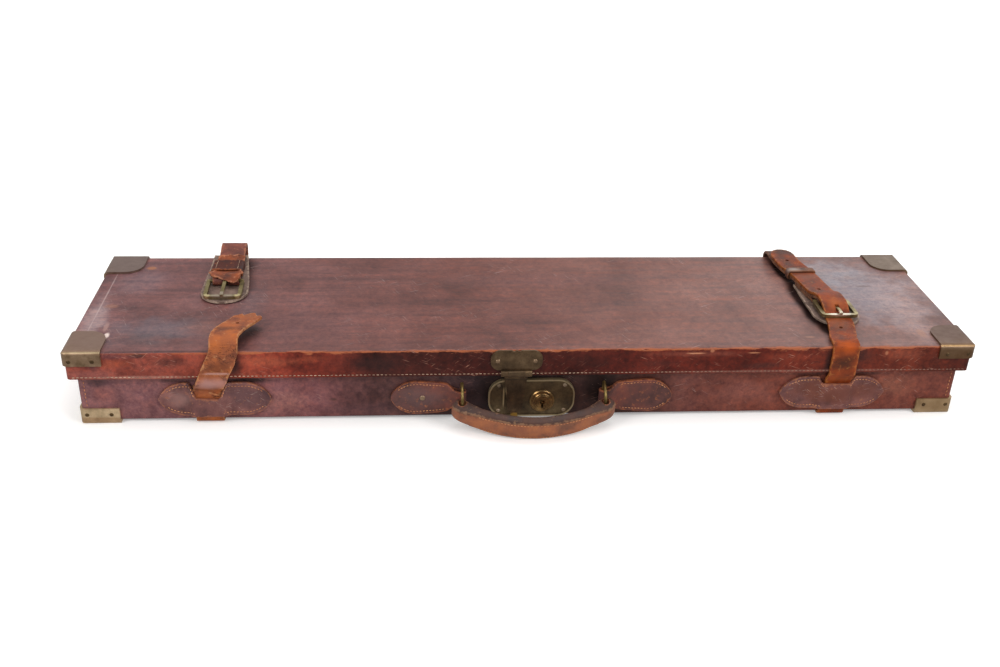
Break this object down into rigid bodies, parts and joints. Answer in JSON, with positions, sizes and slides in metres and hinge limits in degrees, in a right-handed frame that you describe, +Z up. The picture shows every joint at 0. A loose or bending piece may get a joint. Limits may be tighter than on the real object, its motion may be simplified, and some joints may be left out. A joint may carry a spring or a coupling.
{
  "type": "leather case",
  "caption": "Long shallow leather-covered case with hinged lid, brass corners, hasp lock, ring-hung leather handle, two buckled straps and a divided cloth-lined inside.",
  "frame": {"origin": "middle of the part's outline on the floor it rests on", "axes": "+X to the right along the case's length, +Y from the lock side to the hinge side, +Z up"},
  "size_m": [0.8308, 0.248, 0.0942],
  "materials": {
    "oak": "seasoned oak board, bare on the inside of the covering",
    "hide_lid": "thick bridle hide, worn plum brown with orange rubbed edges",
    "hide_base": "thick bridle hide, darker plum brown",
    "strap_leather": "tan strap leather, cracked and creased",
    "pad_leather": "dark leather patches with orange stitching",
    "cloth": "wine red woollen baize",
    "brass": "aged brass, dull grey green on top",
    "lock_bronze": "dark aged brass with bright rubbed edges",
    "steel": "plain steel"
  },
  "bodies": {
    "base": {"base_bottom_board": "oak", "base_front_board": "oak", "base_rear_board": "oak", "base_end_boards": "oak", "base_leather": "hide_base", "base_lining": "cloth", "long_divider": "cloth", "cross_dividers": "cloth", "base_corner_front_left": "brass", "base_corner_front_right": "brass", "base_corner_rear_left": "brass", "base_corner_rear_right": "brass", "base_corner_nails": "brass", "lock_plate": "lock_bronze", "lock_nails": "brass", "key_boss": "brass", "lock_case": "steel", "base_hinge_leaves": "brass", "hinge_pins": "steel", "handle_chape_left": "pad_leather", "handle_chape_right": "pad_leather", "handle_ring_left": "brass", "handle_ring_right": "brass", "strap_under_left": "strap_leather", "strap_under_right": "strap_leather", "front_loop_left": "pad_leather", "front_loop_right": "pad_leather", "rear_loops": "pad_leather"},
    "lock_bolt": {"lock_bolt": "steel"},
    "handle": {"handle_grip": "strap_leather"},
    "billet_left": {"strap_billet_left": "strap_leather"},
    "lid": {"lid_top_board": "oak", "lid_front_board": "oak", "lid_rear_board": "oak", "lid_end_boards": "oak", "lid_leather": "hide_lid", "lid_lining": "cloth", "lid_corner_front_left": "brass", "lid_corner_front_right": "brass", "lid_corner_rear_left": "brass", "lid_corner_rear_right": "brass", "lid_corner_nails": "brass", "lid_hinge_leaves": "brass", "hasp_plate": "lock_bronze", "hasp_rivets": "brass", "hasp_pin": "steel", "strap_rise_left": "strap_leather", "strap_rear_right": "strap_leather", "strap_billet_right": "strap_leather", "safe_right": "pad_leather", "keeper_right": "strap_leather", "buckle_frame_right": "brass", "buckle_prong_right": "brass"},
    "hasp": {"hasp": "lock_bronze", "hasp_staple": "steel"},
    "strap_end_left": {"strap_end_left": "strap_leather", "safe_left": "pad_leather", "keeper_left": "strap_leather"},
    "buckle_left": {"buckle_frame_left": "brass"},
    "prong_left": {"buckle_prong_left": "brass"}
  },
  "joints": [
    {"name": "lid_hinge", "type": "hinge", "parent": "base", "child": "lid", "pos_m": [0, 0.12098, 0.04915], "axis": [-1, 0, 0], "range_deg": [0, 100], "deforming": ["strap_billet_left"]},
    {"name": "hasp_hinge", "type": "hinge", "parent": "lid", "child": "hasp", "pos_m": [-0.014, -0.08901, 0.053], "axis": [-1, 0, 0], "range_deg": [0, 26]},
    {"name": "bolt_slide", "type": "slide", "parent": "base", "child": "lock_bolt", "axis": [-1, 0, 0], "range_m": [0, 0.006]},
    {"name": "handle_swing", "type": "hinge", "parent": "base", "child": "handle", "pos_m": [0.0025, -0.08342, 0.0245], "axis": [-1, 0, 0], "range_deg": [0, 40]},
    {"name": "billet_left_bend", "type": "hinge", "parent": "base", "child": "billet_left", "pos_m": [-0.29275, -0.08092, 0.03346], "axis": [0.9135, 0, -0.4067], "range_deg": [0, 55]},
    {"name": "strap_end_left_bend", "type": "hinge", "parent": "lid", "child": "strap_end_left", "pos_m": [-0.293, 0.11908, 0.0776], "axis": [-1, 0, 0], "range_deg": [0, 80]},
    {"name": "buckle_left_hinge", "type": "hinge", "parent": "strap_end_left", "child": "buckle_left", "pos_m": [-0.289, 0.04519, 0.08318], "axis": [-1, 0, 0], "range_deg": [0, 70]},
    {"name": "prong_left_hinge", "type": "hinge", "parent": "buckle_left", "child": "prong_left", "pos_m": [-0.289, 0.04519, 0.08318], "axis": [-1, 0, 0], "range_deg": [0, 35]}
  ]
}
